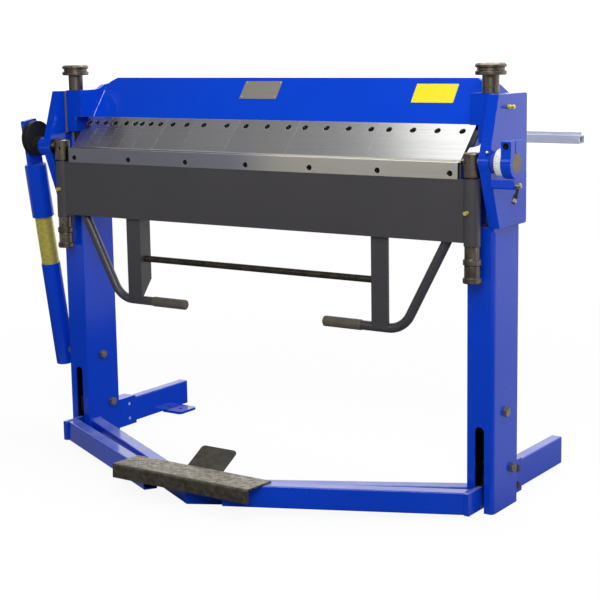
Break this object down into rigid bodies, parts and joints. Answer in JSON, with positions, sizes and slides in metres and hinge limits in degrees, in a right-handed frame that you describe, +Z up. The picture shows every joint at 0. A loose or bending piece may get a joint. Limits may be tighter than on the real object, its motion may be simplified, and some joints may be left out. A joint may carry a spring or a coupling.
{
  "type": "box and pan brake",
  "caption": "Foot-operated box and pan brake: finger-segmented clamping beam on pull rods, folding leaf swung between side plates, angle stop, balancer strut, handles, pedal, rear gauge.",
  "frame": {"origin": "on the floor, at the middle of the underside of the base frame point, below the treadle", "axes": "+X along the bend line to the operator's right, +Y from the operator to the rear, +Z up"},
  "size_m": [1.6255, 1.0752, 1.117],
  "materials": {
    "blue_paint": "gloss blue paint",
    "dark_paint": "satin anthracite paint",
    "finger_steel": "ground steel",
    "blade_steel": "ground steel",
    "black_oxide": "blackened steel",
    "zinc_steel": "zinc plated",
    "spring_steel": "oiled spring steel",
    "brass": "dull brass",
    "gauge_aluminium": "anodised",
    "drum_white": "white enamel",
    "tread_plate": "worn dark checker plate",
    "grip_rubber": "matt rubber",
    "plate_grey": "satin sheet"
  },
  "bodies": {
    "frame": {"column_left": "blue_paint", "column_right": "blue_paint", "side_plate_left": "blue_paint", "side_plate_right": "blue_paint", "plate_grease_nipples": "brass", "rear_legs": "blue_paint", "leg_bolts": "zinc_steel", "column_bolts": "zinc_steel", "strut_anchor_bolt": "zinc_steel", "base_frame": "blue_paint", "release_pin": "zinc_steel", "lower_beam": "blue_paint", "bed_bar": "blade_steel", "gauge_rails": "gauge_aluminium", "stop_bracket": "blue_paint", "index_pin": "zinc_steel", "lift_springs": "spring_steel"},
    "clamping_beam": {"upper_beam": "blue_paint", "finger_25": "finger_steel", "finger_30": "finger_steel", "finger_35": "finger_steel", "finger_40": "finger_steel", "finger_45": "finger_steel", "finger_50": "finger_steel", "finger_75": "finger_steel", "finger_100": "finger_steel", "finger_150": "finger_steel", "finger_200": "finger_steel", "finger_250": "finger_steel", "finger_270": "finger_steel", "finger_screws": "black_oxide", "blank_plates": "plate_grey", "pull_rods": "zinc_steel"},
    "right_knob": {"clamp_knob_right": "black_oxide"},
    "left_knob": {"clamp_knob_left": "black_oxide"},
    "swing_heads": {"pivot_head_left": "black_oxide", "pivot_head_right": "black_oxide", "crank_disc": "dark_paint", "protractor_drum": "drum_white", "stop_collar": "blue_paint", "collar_screw": "black_oxide"},
    "folding_leaf": {"folding_beam": "dark_paint", "folding_blade": "blade_steel", "blade_screws": "black_oxide", "tube_grease_nipples": "brass", "handle_brackets": "dark_paint", "handles": "dark_paint", "cross_rod": "dark_paint", "hand_grips": "grip_rubber"},
    "right_nuts": {"height_nuts_right": "black_oxide"},
    "left_nuts": {"height_nuts_left": "black_oxide"},
    "balancer_foot": {"strut_lower_tube": "blue_paint", "strut_inner_tube": "brass"},
    "balancer_head": {"strut_upper_tube": "blue_paint"},
    "pedal": {"pedal_arms": "blue_paint", "treadle": "tread_plate"},
    "latch_release": {"release_pedal": "dark_paint"},
    "stop_lever": {"clamp_lever": "black_oxide"},
    "rear_gauge": {"gauge_bar": "gauge_aluminium", "gauge_carriers": "gauge_aluminium"}
  },
  "joints": [
    {"name": "clamp_slide", "type": "slide", "parent": "frame", "child": "clamping_beam", "axis": [0, 0, 1], "range_m": [0, 0.0385], "deforming": ["lift_springs"]},
    {"name": "pedal_hinge", "type": "hinge", "parent": "frame", "child": "pedal", "pos_m": [0, 0.413, 0.098], "axis": [-1, 0, 0], "range_deg": [0, 40]},
    {"name": "right_knob_turn", "type": "hinge", "parent": "clamping_beam", "child": "right_knob", "pos_m": [0.678, 0.3534, 1.08], "axis": [0, 0, 1], "range_deg": [-180, 180]},
    {"name": "left_knob_turn", "type": "hinge", "parent": "clamping_beam", "child": "left_knob", "pos_m": [-0.678, 0.3534, 1.08], "axis": [0, 0, 1], "range_deg": [-180, 180]},
    {"name": "leaf_swing", "type": "hinge", "parent": "frame", "child": "swing_heads", "pos_m": [0, 0.279, 0.884], "axis": [-1, 0, 0], "range_deg": [0, 135]},
    {"name": "leaf_height", "type": "slide", "parent": "swing_heads", "child": "folding_leaf", "axis": [0, 0, 1], "range_m": [0, 0.003]},
    {"name": "right_nut_turn", "type": "hinge", "parent": "folding_leaf", "child": "right_nuts", "pos_m": [0.6695, 0.276, 0.64], "axis": [0, 0, 1], "range_deg": [0, 540]},
    {"name": "left_nut_turn", "type": "hinge", "parent": "folding_leaf", "child": "left_nuts", "pos_m": [-0.6695, 0.276, 0.64], "axis": [0, 0, 1], "range_deg": [0, 540]},
    {"name": "balancer_foot_hinge", "type": "hinge", "parent": "frame", "child": "balancer_foot", "pos_m": [-0.793, 0.376, 0.252], "axis": [-1, 0, 0], "range_deg": [0, 3]},
    {"name": "balancer_stroke", "type": "slide", "parent": "balancer_foot", "child": "balancer_head", "axis": [0, -0.1515, 0.9885], "range_m": [-0.05, 0]},
    {"name": "release_hinge", "type": "hinge", "parent": "frame", "child": "latch_release", "pos_m": [0, 0.043, 0.067], "axis": [-1, 0, 0], "range_deg": [0, 12], "stiffness_Nm_per_rad": 5, "springref_deg": -5.73},
    {"name": "stop_lever_turn", "type": "hinge", "parent": "frame", "child": "stop_lever", "pos_m": [0.786, 0.273, 0.8305], "axis": [1, 0, 0], "range_deg": [-60, 60]},
    {"name": "gauge_slide", "type": "slide", "parent": "frame", "child": "rear_gauge", "axis": [0, 1, 0], "range_m": [-0.5, 0]}
  ],
  "couplings": [
    {"joint": "pedal_hinge", "follows": "clamp_slide", "rad_per_m": 18.131},
    {"joint": "right_nut_turn", "follows": "leaf_height", "rad_per_m": 3141.1},
    {"joint": "left_nut_turn", "follows": "leaf_height", "rad_per_m": 3141.1},
    {"joint": "balancer_foot_hinge", "follows": "leaf_swing", "ratio": 0.013048},
    {"joint": "balancer_stroke", "follows": "leaf_swing", "m_per_rad": -0.019692}
  ]
}
